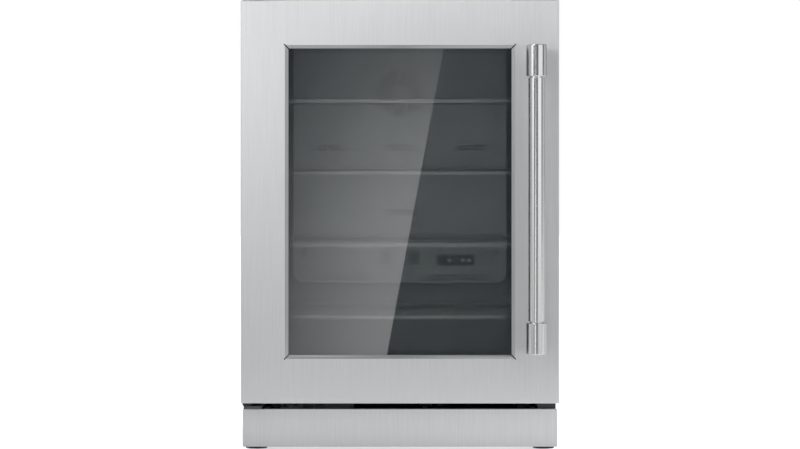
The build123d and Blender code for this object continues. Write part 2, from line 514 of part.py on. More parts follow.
def light_lens():
    inset = LIGHT_WALL + LENS_GAP
    y = (LIGHT_Y[0] + inset, LIGHT_Y[1] - inset)
    low = LINER_TOP - LIGHT_DEPTH - LENS_PROUD
    return box(sides(LIGHT_HALF - inset), y, (low, low + LENS_THICKNESS))


def shelf_rails():
    """Ledges on both liner walls, one pair for each shelf, with a stop at the front end."""
    for top in SHELF_TOPS:
        for s in (-1, 1):
            ledge = box(sorted((s * LEDGE_X, s * LINER_X)), LEDGE_Y, (top + LEDGE_Z[0], top + LEDGE_Z[1]))
            stop_z = (top + LEDGE_Z[0], top + STOP_TOP)
            stop = box(sorted((s * STOP_X, s * LINER_X)), (STOP_FRONT, LEDGE_Y[0]), stop_z)
            yield ledge + stop


def shelf(top):
    """A glass plate between a front and a rear trim, each grooved for the glass."""
    glass_z = (top + SHELF_GLASS_Z[0], top + SHELF_GLASS_Z[1])
    glass = box(sides(SHELF_GLASS_HALF), SHELF_GLASS_Y, glass_z)
    glass = fillet(upright_edges(glass), 3)
    front = box(sides(SHELF_TRIM_HALF), SHELF_FRONT_Y, (top - SHELF_FRONT_HEIGHT, top))
    front = fillet(front.edges().filter_by(Axis.X).group_by(Axis.Y)[0], 1.5)
    rear = box(sides(SHELF_TRIM_HALF), SHELF_REAR_Y, (top - SHELF_REAR_DROP, top + SHELF_REAR_RISE))
    return glass, [front - glass, rear - glass]


def drain_path(extra):
    return rod("z", (DRAIN_X, DRAIN_Y), (DRAIN_LOW - 2, HUMP_TOP + 1), DRAIN_R + extra)


def drain_tube():
    """Carries meltwater from the hump down to the pan."""
    tube = rod("z", (DRAIN_X, DRAIN_Y), (DRAIN_LOW, HUMP_TOP), DRAIN_R)
    return tube - rod("z", (DRAIN_X, DRAIN_Y), (DRAIN_LOW - 1, HUMP_TOP + 1), DRAIN_R - DRAIN_WALL)


# ---------------------------------------------------------------- machine bay
def grommet_places():
    return [(COMPRESSOR_X + i * GROMMET_SIDE[0], COMPRESSOR_Y + j * GROMMET_SIDE[1])
            for i in (-1, 1) for j in (-1, 1)]


def compressor():
    """Welded can with a domed lid on a pressed foot plate, with two stub pipes."""
    x, y = COMPRESSOR_X, COMPRESSOR_Y
    can = rod("z", (x, y), COMPRESSOR_Z, COMPRESSOR_R)
    can = fillet(rims(can), COMPRESSOR_DOME_R)
    seam = rod("z", (x, y), SEAM_Z, COMPRESSOR_R + SEAM_PROUD)
    plate = box((x - FOOT_PLATE[0], x + FOOT_PLATE[0]), (y - FOOT_PLATE[1], y + FOOT_PLATE[1]), FOOT_PLATE_Z)
    plate = fillet(upright_edges(plate), FOOT_CORNER_R)
    hole_z = (FOOT_PLATE_Z[0] - 1, FOOT_PLATE_Z[1] + 1)
    plate = less(plate, [rod("z", p, hole_z, GROMMET_NECK_R + 0.2) for p in grommet_places()])
    stub_x = (x - STUB_REACH, x - COMPRESSOR_R / 2)
    stubs = [rod("x", (y + side, STUB_Z), stub_x, STUB_R) for side in sides(STUB_SIDE)]
    return joined([can, seam, plate] + stubs)


def grommets():
    """Rubber mounts between the compressor's foot plate and the tray."""
    for p in grommet_places():
        neck = rod("z", p, (FOOT_PLATE_Z[0] - 1, FOOT_PLATE_Z[1] + 5), GROMMET_NECK_R)
        yield rod("z", p, (TRAY_TOP, FOOT_PLATE_Z[0]), GROMMET_R) + neck


def relay_box():
    """Start relay and terminals, clipped on the side of the compressor."""
    wall_x = COMPRESSOR_X - COMPRESSOR_R
    body = box((wall_x - RELAY_X[0], wall_x + RELAY_X[1]),
               (COMPRESSOR_Y + RELAY_Y[0], COMPRESSOR_Y + RELAY_Y[1]), RELAY_Z)
    body = fillet(upright_edges(body), 4)
    return body - rod("z", (COMPRESSOR_X, COMPRESSOR_Y), (0, FAR), COMPRESSOR_R + 0.3)


def condenser_coil():
    """Tube-and-fin block in the bay's left end. The tubes run along Y."""
    half, radius, spread = CONDENSER_HALF, CONDENSER_TUBE_R, CONDENSER_SPREAD
    rows = [CONDENSER_LOW + i * CONDENSER_PITCH for i in range(CONDENSER_ROWS)]
    runs = [Pos(0, y, 0) * serpentine(CONDENSER_ROWS, CONDENSER_PITCH, half, radius) for y in (0, spread)]
    tube = joined(runs + [crossover(half, spread, radius)])
    tube = Pos(CONDENSER_X + spread / 2, CONDENSER_Y, CONDENSER_LOW) * Rot(0, 0, 90) * tube
    hole_y = (CONDENSER_Y - half - 1, CONDENSER_Y + half + 1)
    holes = [rod("y", (CONDENSER_X + dx, z), hole_y, radius) for dx in sides(spread / 2) for z in rows]
    x = (CONDENSER_X - CONDENSER_FIN_HALF, CONDENSER_X + CONDENSER_FIN_HALF)
    low, top = rows[0] - CONDENSER_PITCH / 2, rows[-1] + CONDENSER_PITCH / 2
    first = CONDENSER_Y - (CONDENSER_FINS - 1) / 2 * CONDENSER_FIN_PITCH
    fins = [Pos(0, first + i * CONDENSER_FIN_PITCH, 0) * box(x, sides(FIN_SHEET / 2), (low, top))
            for i in range(CONDENSER_FINS)]
    ends = [Pos(0, CONDENSER_Y + dy, 0) * box(x, sides(END_PLATE / 2), (TRAY_TOP, top))
            for dy in sides(CONDENSER_END_Y)]
    return [tube] + [less(f, holes) for f in fins + ends]


def condenser_fan_shroud():
    """Plate with a round throat between the condenser and the compressor."""
    x = (CONDENSER_FAN_X - SHROUD_X[0], CONDENSER_FAN_X - SHROUD_X[1])
    outer_r, throat_r = CONDENSER_FAN_R + SHROUD_RIM, CONDENSER_FAN_R + SHROUD_CLEARANCE
    plate = box(x, (CONDENSER_Y - outer_r, Y_REAR_SHEET - 4), (TRAY_TOP, BAY_TOP - SHROUD_X[1]))
    ring = rod("x", (CONDENSER_Y, CONDENSER_Z), (x[0], CONDENSER_FAN_X + SHROUD_X[1]), outer_r)
    throat = rod("x", (CONDENSER_Y, CONDENSER_Z), (x[0] - 1, CONDENSER_FAN_X + SHROUD_X[1] + 1), throat_r)
    return plate + ring - throat


def condenser_fan_motor():
    """Motor can on a crossbar that is screwed to the fan's shroud."""
    x = CONDENSER_FAN_X + CONDENSER_MOTOR_PLACE
    sheet = 4.0
    z = (CONDENSER_Z - CONDENSER_BAR_HALF, CONDENSER_Z + CONDENSER_BAR_HALF)
    reach = CONDENSER_FAN_R + SHROUD_RIM
    can = rod("x", (CONDENSER_Y, CONDENSER_Z), (x, x + CONDENSER_MOTOR_LENGTH), CONDENSER_MOTOR_R)
    shaft = rod("x", (CONDENSER_Y, CONDENSER_Z), (CONDENSER_FAN_X, x), CONDENSER_SHAFT_R)
    bar = box((x, x + sheet), (CONDENSER_Y - reach + 2, CONDENSER_Y + reach - 2), z)
    tabs = [box((x - 2, x + sheet), sorted((CONDENSER_Y + s * (reach - 3), CONDENSER_Y + s * reach)), z)
            for s in (-1, 1)]
    return joined([can, shaft, bar] + tabs)


def condenser_fan():
    blades = fan(CONDENSER_FAN_R, CONDENSER_FAN_HUB_R, CONDENSER_FAN_BLADES, CONDENSER_FAN_DEPTH, CONDENSER_SHAFT_R)
    turned = Rot(0, 0, -90) * blades
    return Pos(CONDENSER_FAN_X - CONDENSER_FAN_DEPTH / 2, CONDENSER_Y, CONDENSER_Z) * turned


def evaporation_pan():
    """Open tray on the chassis that catches the drain water."""
    outer = fillet(upright_edges(box(PAN_X, PAN_Y, (TRAY_TOP, PAN_TOP))), PAN_CORNER_R)
    inner = box((PAN_X[0] + PAN_WALL, PAN_X[1] - PAN_WALL), (PAN_Y[0] + PAN_WALL, PAN_Y[1] - PAN_WALL),
                (TRAY_TOP + PAN_WALL, PAN_TOP + 2))
    return outer - fillet(upright_edges(inner), PAN_CORNER_R - PAN_WALL)


def pipe(points, bend, radius):
    """A copper pipe along straight runs joined by bends."""
    path = FilletPolyline(*points, radius=bend)
    start = Plane(origin=path @ 0, z_dir=path % 0)
    return sweep(start * Circle(radius), path=path)


def refrigerant_lines():
    """Discharge, liquid, capillary and suction pipes, with a filter drier in the liquid line."""
    stub_x, ceiling = COMPRESSOR_X - STUB_REACH, BAY_TOP - CASE_SHEET
    coil_y = CONDENSER_Y - CONDENSER_HALF
    coil_z = CONDENSER_LOW + (CONDENSER_ROWS - 1) * CONDENSER_PITCH
    inlet_x, outlet_x = (CONDENSER_X + dx for dx in sides(CONDENSER_SPREAD / 2))
    front, middle = BAY_FRONT + 8, BAY_FRONT + 20
    y, turn = COMPRESSOR_Y - STUB_SIDE, stub_x - 26
    discharge = pipe([(stub_x, y, STUB_Z), (turn, y, STUB_Z), (turn, front, STUB_Z), (turn, front, PIPE_TOP_Z),
                      (inlet_x, front, PIPE_TOP_Z), (inlet_x, front, coil_z), (inlet_x, coil_y, coil_z)], 8, 3.0)
    liquid = pipe([(outlet_x, coil_y, coil_z), (outlet_x, middle, coil_z), (DRIER_X, middle, coil_z),
                   (DRIER_X, middle, DRIER_Z[1])], 5, 2.5)
    drier = rod("z", (DRIER_X, middle), DRIER_Z, DRIER_R)
    drier = fillet(rims(drier), 4)
    rise_x = DRIER_X + 24
    capillary = pipe([(DRIER_X, middle, DRIER_Z[0]), (DRIER_X, middle, CAPILLARY_Z), (rise_x, middle, CAPILLARY_Z),
                      (rise_x, middle, ceiling)], 6, 1.5)
    y, turn = COMPRESSOR_Y + STUB_SIDE, stub_x - 22
    suction = pipe([(stub_x, y, STUB_Z), (turn, y, STUB_Z), (turn, y, ceiling)], 10, STUB_R)
    return [discharge, liquid + drier + capillary, suction]


def cord_gland():
    """Rubber bushing in the machine cover that a mains cord would pass through."""
    place = (GLAND_X, GLAND_Z)
    inside = (Y_REAR_SHEET - GLAND_INSIDE, Y_REAR_SHEET)
    lips = [rod("y", place, span, GLAND_R + GLAND_RIM) for span in (inside, (Y_REAR_FACE, Y_BACK))]
    neck = rod("y", place, (Y_REAR_SHEET, Y_REAR_FACE), GLAND_R)
    return joined(lips + [neck]) - rod("y", place, (inside[0] - 1, Y_BACK + 1), CORD_HOLE_R)


# ---------------------------------------------------------------- hinges, toe kick, legs
def upper_hinge_bracket():
    """Flat plate on the cabinet's top that reaches out over the door."""
    through = (CASE_TOP - 1, OVERALL_HEIGHT + 1)
    plate = box((-CASE_X, HINGE_PLATE_X), (Y_DOOR + HINGE_INSET, HINGE_PLATE_REAR), (CASE_TOP, OVERALL_HEIGHT))
    plate -= box(HINGE_NOTCH_X, (-FAR, Y_CASE + 6), through)
    plate = fillet(upright_edges(plate), 5)
    plate -= rod("z", (HINGE_X, HINGE_Y), through, PIN_R)
    return countersunk(plate, HINGE_SCREWS)


def counter_strap():
    """Flat plate at the other corner, with two holes for screws up into the worktop."""
    plate = box((STRAP_X, CASE_X), (STRAP_FRONT, HINGE_PLATE_REAR), (CASE_TOP, OVERALL_HEIGHT))
    plate = fillet(upright_edges(plate), 5)
    holes = [rod("z", (x, COUNTER_HOLE_Y), (CASE_TOP - 1, OVERALL_HEIGHT + 1), COUNTER_HOLE_R)
             for x in COUNTER_HOLES]
    return countersunk(less(plate, holes), STRAP_SCREWS)


def lower_hinge_bracket():
    """Angle on the front post, with a tongue under the door that carries the lower pin."""
    x = (-CASE_INNER_X, POST_WIDTH - CASE_X)
    upright = box(x, (Y_CASE - HINGE_PLATE, Y_CASE), (ANGLE_BOTTOM, DOOR_BOTTOM - 1))
    tongue = box(x, (Y_DOOR + HINGE_INSET, Y_CASE), TONGUE_Z)
    tongue = fillet(upright_edges(tongue).group_by(Axis.Y)[0], 8)
    return upright + tongue - rod("z", (HINGE_X, HINGE_Y), (TONGUE_Z[0] - 1, TONGUE_Z[1] + 1), PIN_R)


def hinge_pins():
    upper = rod("z", (HINGE_X, HINGE_Y), (DOOR_TOP - PIN_DEPTH, OVERALL_HEIGHT), PIN_R)
    lower = rod("z", (HINGE_X, HINGE_Y), (TONGUE_Z[0], DOOR_BOTTOM + PIN_DEPTH), PIN_R)
    return upper, lower


def hinge_bushes():
    """Plastic bushes in the door; the lower one has a collar that carries the door's weight."""
    bore = rod("z", (HINGE_X, HINGE_Y), (0, FAR), PIN_R + PIN_CLEARANCE)
    upper = rod("z", (HINGE_X, HINGE_Y), (DOOR_TOP - BUSH_LENGTH, DOOR_TOP), BUSH_R) - bore
    lower = rod("z", (HINGE_X, HINGE_Y), (DOOR_BOTTOM, DOOR_BOTTOM + BUSH_LENGTH), BUSH_R)
    lower += rod("z", (HINGE_X, HINGE_Y), (TONGUE_Z[1] + TONGUE_GAP, DOOR_BOTTOM), BUSH_R + COLLAR_STEP)
    return upper, lower - bore


def bush_holes():
    spans = (DOOR_TOP - BUSH_LENGTH, DOOR_TOP + 1), (DOOR_BOTTOM - 1, DOOR_BOTTOM + BUSH_LENGTH)
    return [rod("z", (HINGE_X, HINGE_Y), span, BUSH_R) for span in spans]


def kick_plate():
    """Stainless toe kick, a shallow tray folded back on all four sides."""
    y, half = Y_DOOR + KICK_RECESS, KICK_WIDTH / 2
    outer = box(sides(half), (y, y + KICK_DEPTH), KICK_Z)
    outer = fillet(front_edges(outer) + outer.edges().filter_by(Axis.Y), KICK_EDGE_R)
    hollow = box(sides(half - DOOR_SHEET), (y + DOOR_SHEET, y + KICK_DEPTH + 1),
                 (KICK_Z[0] + DOOR_SHEET, KICK_Z[1] - DOOR_SHEET))
    return outer - hollow


def kick_clips():
    """Spring clips between the toe kick and the front posts."""
    y = (Y_DOOR + KICK_RECESS + DOOR_SHEET, Y_CASE)
    for s in (-1, 1):
        x = sorted((s * CLIP_X[0], s * CLIP_X[1]))
        hollow_x = (x[0] + 2 * CLIP_THICKNESS, x[1] - 2 * CLIP_THICKNESS)
        yield box(x, y, CLIP_Z) - box(hollow_x, (y[0] + CLIP_THICKNESS, y[1] - CLIP_THICKNESS), (0, FAR))


def leg(x, y):
    """Levelling leg: a moulded foot with a hexagonal collar, and a steel stud."""
    pad = rod("z", (x, y), (0, PAD_HEIGHT), PAD_R)
    pad = fillet(rims(pad).group_by(Axis.Z)[-1], 3)
    pad = chamfer(rims(pad).group_by(Axis.Z)[0], 0.8)
    collar = Pos(x, y, PAD_HEIGHT - 1) * extrude(RegularPolygon(LEG_HEX_R, 6), LEG_HEX_TOP - PAD_HEIGHT + 1)
    stud = rod("z", (x, y), STUD_Z, STUD_R)
    return pad + collar - stud, stud


def leg_nuts():
    """Flanged nuts that rest on the tray and take the studs."""
    bore_z = (TRAY_TOP - 1, TRAY_TOP + NUT_FLANGE + NUT_HEIGHT + 1)
    for x in sides(LEG_X):
        for y in LEG_Y:
            flange = rod("z", (x, y), (TRAY_TOP, TRAY_TOP + NUT_FLANGE), NUT_FLANGE_R)
            body = Pos(x, y, TRAY_TOP + NUT_FLANGE) * extrude(RegularPolygon(NUT_HEX_R, 6), NUT_HEIGHT)
            yield flange + body - rod("z", (x, y), bore_z, STUD_R + PIN_CLEARANCE)


# ---------------------------------------------------------------- door
def door_block(inset, radius):
    """The door's outline in front of its back frame, set in all round, with its front edges rounded."""
    block = box(sides(DOOR_X - inset), (Y_DOOR + inset, Y_DOOR_BACK - FRAME_PLATE),
                (DOOR_BOTTOM + inset, DOOR_TOP - inset))
    return fillet(front_edges(block) + block.edges().filter_by(Axis.Y), radius)


def door_skin():
    """Brushed stainless front, folded back on all four sides, with the window cut out."""
    skin = door_block(0, SKIN_EDGE_R) - door_block(DOOR_SHEET, SKIN_EDGE_R - DOOR_SHEET)
    window = box(sides(WINDOW_WIDTH / 2), (Y_DOOR - 1, Y_DOOR + DOOR_SHEET + 1), WINDOW_Z)
    return less(skin - window, bush_holes() + mitre_slits())


def mitre_slits():
    """Thin diagonal cuts through the window's four corners, where the bevels meet."""
    cuts = []
    for sx in (-1, 1):
        for z, sz in ((WINDOW_Z[0], -1), (WINDOW_Z[1], 1)):
            place = Pos(sx * (WINDOW_WIDTH / 2 - MITRE_IN), Y_DOOR + 3, z - sz * MITRE_IN)
            cuts.append(place * Rot(0, -45 * sx * sz, 0) * Box(14, 12, MITRE_WIDTH))
    return cuts


def window_trim():
    """Four bevelled strips, mitred at the corners, that lead from the skin back to the glass."""
    half, (low, high) = WINDOW_WIDTH / 2, WINDOW_Z
    middle, reach = (low + high) / 2, (high - low) / 2
    strips = []
    for angle, edge, length in ((0, reach, half), (90, half, reach), (180, reach, half), (270, half, reach)):
        inner = edge - WINDOW_BEVEL
        profile = Polygon((Y_DOOR, edge), (Y_DOOR + WINDOW_BEVEL, inner), (Y_GLASS, inner), (Y_GLASS, edge + 4),
                          (Y_DOOR + DOOR_SHEET, edge + 4), (Y_DOOR + DOOR_SHEET, edge), align=None)
        strip = extrude(Plane.YZ * profile, length + 10, both=True)
        wedge = Polygon((0, edge - length), (length + 12, edge + 12), (-length - 12, edge + 12), align=None)
        strip &= slab(wedge, Y_DOOR - 5, 30)
        strips.append(Pos(0, 0, middle) * Rot(0, angle, 0) * strip)
    cut = mitre_slits()
    return [less(s, cut) for s in strips]


def pane(y):
    z = (WINDOW_Z[0] - GLASS_EDGE, WINDOW_Z[1] + GLASS_EDGE)
    return rounded(sides(WINDOW_WIDTH / 2 + GLASS_EDGE), z, 3, y, GLASS_SHEET)


def glass_spacer():
    """Warm-edge spacer that keeps the two panes apart."""
    x, z = WINDOW_WIDTH / 2 + GLASS_EDGE, (WINDOW_Z[0] - GLASS_EDGE, WINDOW_Z[1] + GLASS_EDGE)
    y = (Y_GLASS + GLASS_SHEET, Y_GLASS + GLASS_SHEET + GLASS_CAVITY)
    hollow_z = (z[0] + SPACER_WIDTH, z[1] - SPACER_WIDTH)
    return box(sides(x), y, z) - box(sides(x - SPACER_WIDTH), (y[0] - 1, y[1] + 1), hollow_z)


def ring_of_four(outer_x, outer_z, inner_x, inner_z, y):
    """A frame as four blocks: the upright ones run the full height."""
    return [
        box((-outer_x, -inner_x), y, outer_z),
        box((inner_x, outer_x), y, outer_z),
        box(sides(inner_x), y, (outer_z[0], inner_z[0])),
        box(sides(inner_x), y, (inner_z[1], outer_z[1])),
    ]


def door_insulation():
    """Foam in the door's frame, stepped in behind the glass unit."""
    back = Y_DOOR_BACK - FRAME_PLATE
    edge = GLASS_EDGE + 1
    wide_x, wide_z = WINDOW_WIDTH / 2 + edge, (WINDOW_Z[0] - edge, WINDOW_Z[1] + edge)
    front = ring_of_four(DOOR_X, (DOOR_BOTTOM, DOOR_TOP), wide_x, wide_z, (Y_DOOR, back))
    cavity = less(door_block(DOOR_SHEET, SKIN_EDGE_R - DOOR_SHEET), bush_holes())
    rear = ring_of_four(wide_x, wide_z, WINDOW_WIDTH / 2, WINDOW_Z, (Y_GLASS_BACK, back))
    return [(f & cavity) + r for f, r in zip(front, rear)]


def door_inner_frame():
    """Moulded frame that closes the door's back, with a lip that holds the glass unit."""
    lip_x, lip_z = WINDOW_WIDTH / 2 - GLASS_LIP, (WINDOW_Z[0] + GLASS_LIP, WINDOW_Z[1] - GLASS_LIP)
    z = (DOOR_BOTTOM + FRAME_INSET, DOOR_TOP - FRAME_INSET)
    plate = rounded(sides(DOOR_X - FRAME_INSET), z, 4, Y_DOOR_BACK - FRAME_PLATE, FRAME_PLATE)
    lip = rounded(sides(WINDOW_WIDTH / 2), WINDOW_Z, 3, Y_GLASS_BACK, Y_DOOR_BACK - 3 - Y_GLASS_BACK)
    opening = rounded(sides(lip_x), lip_z, 2, Y_GLASS_BACK - 1, DOOR_THICKNESS)
    return plate + lip - opening


def door_gasket():
    """Magnetic gasket in four mitred lengths."""
    x, z, width = GASKET_X, GASKET_Z, GASKET_WIDTH
    depth = GASKET_GAP - GASKET_PLAY
    middle, reach = (z[0] + z[1]) / 2, (z[1] - z[0]) / 2
    for angle, edge, length in ((0, reach, x), (90, x, reach), (180, reach, x), (270, x, reach)):
        strip = Polygon((length, edge), (-length, edge), (width - length, edge - width),
                        (length - width, edge - width), align=None)
        yield Pos(0, 0, middle) * Rot(0, angle, 0) * slab(strip, Y_DOOR_BACK, depth)


def handle_bar():
    """Polished bar, necked where it meets each mount."""
    low, high = HANDLE_Z[0] + MOUNT_LENGTH, HANDLE_Z[1] - MOUNT_LENGTH
    bar = rod("z", (HANDLE_X, Y_HANDLE), (low + BAR_NECK, high - BAR_NECK), BAR_R)
    bar = fillet(rims(bar), 0.6)
    return bar + rod("z", (HANDLE_X, Y_HANDLE), (low, high), BAR_R - BAR_NECK_DEPTH)


def handle_mount(z):
    """Cast end mount: a round head with an oval post back to the door."""
    head = rod("z", (HANDLE_X, Y_HANDLE), z, MOUNT_R)
    head = fillet(rims(head), 2.2)
    oval = Pos(HANDLE_X, (z[0] + z[1]) / 2) * Rot(0, 0, 90) * SlotOverall(POST_LONG, POST_WIDE)
    return head + slab(oval, Y_HANDLE, Y_DOOR - Y_HANDLE)


# ---------------------------------------------------------------- every node
def build():
    node("left_side_panel", side_panel(-1))
    node("right_side_panel", side_panel(1))
    node("top_panel", top_panel())
    node("underside_panel", underside_panel())
    node("back_panel", less(back_panel(), rear_screw_cuts()))
    node("machine_cover", machine_cover())
    node("base_tray", base_tray(), *leg_nuts())
    node("front_posts", front_post(-1), front_post(1), *kick_clips())
    node("foam_insulation", *insulation())
    node("inner_liner", inner_liner())
    node("drain_tube", drain_tube())
    node("duct_cover", duct_cover())
    node("duct_cover_screws", *cover_screws())
    node("evaporator_coil", *evaporator_coil())
    node("evaporator_fan_motor", evaporator_fan_motor())
    node("evaporator_fan", Pos(0, FAN_FRONT, FAN_Z) * fan(FAN_R, FAN_HUB_R, FAN_BLADES, FAN_DEPTH, EVAPORATOR_SHAFT_R))
    node("control_fascia", control_fascia())
    for name, x in BUTTONS.items():
        node(f"button_{name}", button(x))
    node("light_housing", light_housing())
    node("light_lens", light_lens())
    node("shelf_rails", *shelf_rails())
    for i, top in enumerate(SHELF_TOPS, 1):
        glass, trims = shelf(top)
        node(f"shelf_{i}_glass", glass)
        node(f"shelf_{i}_trims", *trims)
    node("compressor", compressor(), relay_box())
    node("compressor_grommets", *grommets())
    node("condenser_coil", *condenser_coil())
    node("condenser_fan_mount", condenser_fan_shroud(), condenser_fan_motor())
    node("condenser_fan", condenser_fan())
    node("evaporation_pan", evaporation_pan())
    node("refrigerant_lines", *refrigerant_lines())
    node("cord_gland", cord_gland())
    node("upper_hinge_bracket", upper_hinge_bracket())
    node("counter_strap", counter_strap())
    node("case_screws", *top_screws(), *rear_screws())
    node("lower_hinge_bracket", lower_hinge_bracket())
    node("hinge_pins", *hinge_pins())
    node("hinge_bushes", *hinge_bushes())
    node("kick_plate", kick_plate())
    for name, x, y in (("front_left", -LEG_X, LEG_Y[0]), ("front_right", LEG_X, LEG_Y[0]),
                       ("rear_left", -LEG_X, LEG_Y[1]), ("rear_right", LEG_X, LEG_Y[1])):
        node(f"leg_{name}", *leg(x, y))
    node("door_skin", door_skin())
    node("window_trim", *window_trim())
    node("outer_glass", pane(Y_GLASS))
    node("glass_spacer", glass_spacer())
    node("inner_glass", pane(Y_GLASS + GLASS_SHEET + GLASS_CAVITY))
    node("door_insulation", *door_insulation())
    node("door_inner_frame", door_inner_frame())
    node("door_gasket", *door_gasket())
    node("handle_bar", handle_bar())
    low, high = HANDLE_Z
    node("handle_mounts", handle_mount((low, low + MOUNT_LENGTH)), handle_mount((high - MOUNT_LENGTH, high)))


build()
os.makedirs("parts", exist_ok=True)
for name, solids in NODES.items():
    export_step(Compound(children=solids) if len(solids) > 1 else solids[0], f"parts/{name}.step")
print(len(NODES), "nodes,", sum(len(s) for s in NODES.values()), "solids")
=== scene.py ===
import json
import math

import bpy
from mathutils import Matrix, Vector

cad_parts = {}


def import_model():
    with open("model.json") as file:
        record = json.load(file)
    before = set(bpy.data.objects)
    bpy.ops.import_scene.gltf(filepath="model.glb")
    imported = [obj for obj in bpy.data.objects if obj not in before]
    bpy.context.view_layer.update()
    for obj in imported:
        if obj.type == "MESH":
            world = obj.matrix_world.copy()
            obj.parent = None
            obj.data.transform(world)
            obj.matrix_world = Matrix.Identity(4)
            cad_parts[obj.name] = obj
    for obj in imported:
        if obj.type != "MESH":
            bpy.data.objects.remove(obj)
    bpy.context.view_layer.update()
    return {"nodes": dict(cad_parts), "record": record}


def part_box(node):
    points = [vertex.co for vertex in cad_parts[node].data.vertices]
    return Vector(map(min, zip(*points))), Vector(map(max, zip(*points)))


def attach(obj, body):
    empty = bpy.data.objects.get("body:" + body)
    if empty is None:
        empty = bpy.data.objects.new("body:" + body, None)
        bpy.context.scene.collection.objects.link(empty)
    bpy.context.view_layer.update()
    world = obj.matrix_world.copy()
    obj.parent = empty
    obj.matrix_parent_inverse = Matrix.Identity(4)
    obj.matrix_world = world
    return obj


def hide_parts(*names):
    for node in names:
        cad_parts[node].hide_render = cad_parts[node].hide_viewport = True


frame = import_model()
NODES = frame["nodes"]

# ---------------------------------------------------------------- the camera's place, and the pale room
CAMERA_DISTANCE, CAMERA_HEIGHT, CAMERA_REACH = 5.671, 0.5961, 60.0
LENS_MM, SENSOR_MM, SHIFT_DOWN = 127.7, 36.0, 0.1056
scene = bpy.context.scene
scene.view_settings.view_transform = "Standard"

# Each SPAN below that holds four numbers goes to map_range: (from, from, to, to).
WHITE = (1.0, 1.0, 1.0, 1.0)
# Room brightness by compass angle from the front, in degrees towards +X: what polished steel reflects.
ROOM_BANDS = [(-180, 0.2), (-130, 0.2), (-124, 0.48), (-58, 0.45), (-50, 0.62), (-42, 0.65), (-37, 0.13),
              (16, 0.15), (24, 0.92), (68, 0.95), (74, 0.2), (94, 0.2), (99, 0.62), (124, 0.6), (130, 0.2),
              (180, 0.2)]
ROOM_TINT = (1.0, 1.01, 1.02)
SKY = (0.3, 0.31, 0.315, 1.0)
SKY_SPAN = (0.25, 0.75, 0.0, 1.0)

FLOOR_HALF = 12.0
FLOOR_CAMERA_GLOW = 0.5
FLOOR_SPAN = 1.5
# The floor's brightness in reflections, from FLOOR_SPAN metres ahead of the origin (0) up to it (1).
FLOOR_BANDS = [(0.2, 0.5), (0.5, 0.95), (0.64, 0.92), (0.8, 0.55)]
FLOOR_RIGHT_SPAN = (-0.1, 0.3, 1.0, 1.25)

# Cards that stand before the door and beside it, and show only in reflections.
CARD_Y = -2.0
CARD_EDGE = ((-0.0332, 0.055), (0.1102, 0.8277))
CARD_REACH = (-0.62, 0.62, -0.12, 1.02)
CARD_STRENGTH, CARD_TOP, DARK_STRENGTH = 2.1, 0.45, 0.12
CARD_HEIGHT_SPAN = (0.25, 1.0, CARD_STRENGTH, CARD_TOP)
CARD_EDGE_SPAN = (-0.46, 0.03, 0.12, 1.0)
SHEEN_Y, SHEEN_TOP = -0.95, 1.3

# name, place, target, size, watts, seen in gloss, lights matt surfaces
LIGHTS = [
    ("key", (1.9, -3.4, 2.6), (0.0, -0.2, 0.5), (1.6, 1.6), 70, False, True),
    ("fill", (-2.2, -3.0, 1.6), (0.0, -0.2, 0.5), (2.2, 2.2), 60, False, True),
    ("rear", (0.5, 3.2, 2.4), (0.0, 0.2, 0.4), (2.4, 1.6), 60, True, True),
    ("upper_left_sheen", (-0.75, -1.5, 1.35), (-0.15, -0.27, 0.8), (1.1, 0.7), 14, True, False),
    ("inside", (0.0, -0.238, 0.5), (0.0, 0.2, 0.5), (0.4, 0.56), 5.5, False, True),
]


# ---------------------------------------------------------------- node helpers
def feed(tree, socket, value):
    """Sets a socket to a number or a colour, or links it to another node's output."""
    if isinstance(value, (int, float, tuple)):
        socket.default_value = value
    else:
        tree.links.new(value, socket)


def maths(tree, kind, *values):
    made = tree.nodes.new("ShaderNodeMath")
    made.operation = kind
    for socket, value in zip(made.inputs, values):
        feed(tree, socket, value)
    return made.outputs["Value"]


def map_range(tree, source, span):
    """A smooth step. span is (from, from, to, to)."""
    made = tree.nodes.new("ShaderNodeMapRange")
    made.interpolation_type = "SMOOTHSTEP"
    for socket, value in zip(("From Min", "From Max", "To Min", "To Max"), span):
        made.inputs[socket].default_value = value
    tree.links.new(source, made.inputs["Value"])
    return made.outputs["Result"]


def ramp(tree, source, stops):
    """A colour ramp. stops are (place, grey or colour)."""
    made = tree.nodes.new("ShaderNodeValToRGB")
    points = made.color_ramp.elements
    while len(points) < len(stops):
        points.new(0.5)
    for point, (place, tone) in zip(points, stops):
        point.position = place
        point.color = (*tone, 1.0) if isinstance(tone, tuple) else (tone, tone, tone, 1.0)
    tree.links.new(source, made.inputs["Fac"])
    return made.outputs["Color"]


def mixed_color(tree, factor, a, b):
    made = tree.nodes.new("ShaderNodeMix")
    made.data_type = "RGBA"
    for socket, value in (("Factor", factor), ("A", a), ("B", b)):
        feed(tree, made.inputs[socket], value)
    return made.outputs["Result"]


def split_coords(tree, kind):
    """The X, Y and Z of one kind of coordinates."""
    coords = tree.nodes.new("ShaderNodeTexCoord")
    split = tree.nodes.new("ShaderNodeSeparateXYZ")
    tree.links.new(coords.outputs[kind], split.inputs["Vector"])
    return split.outputs


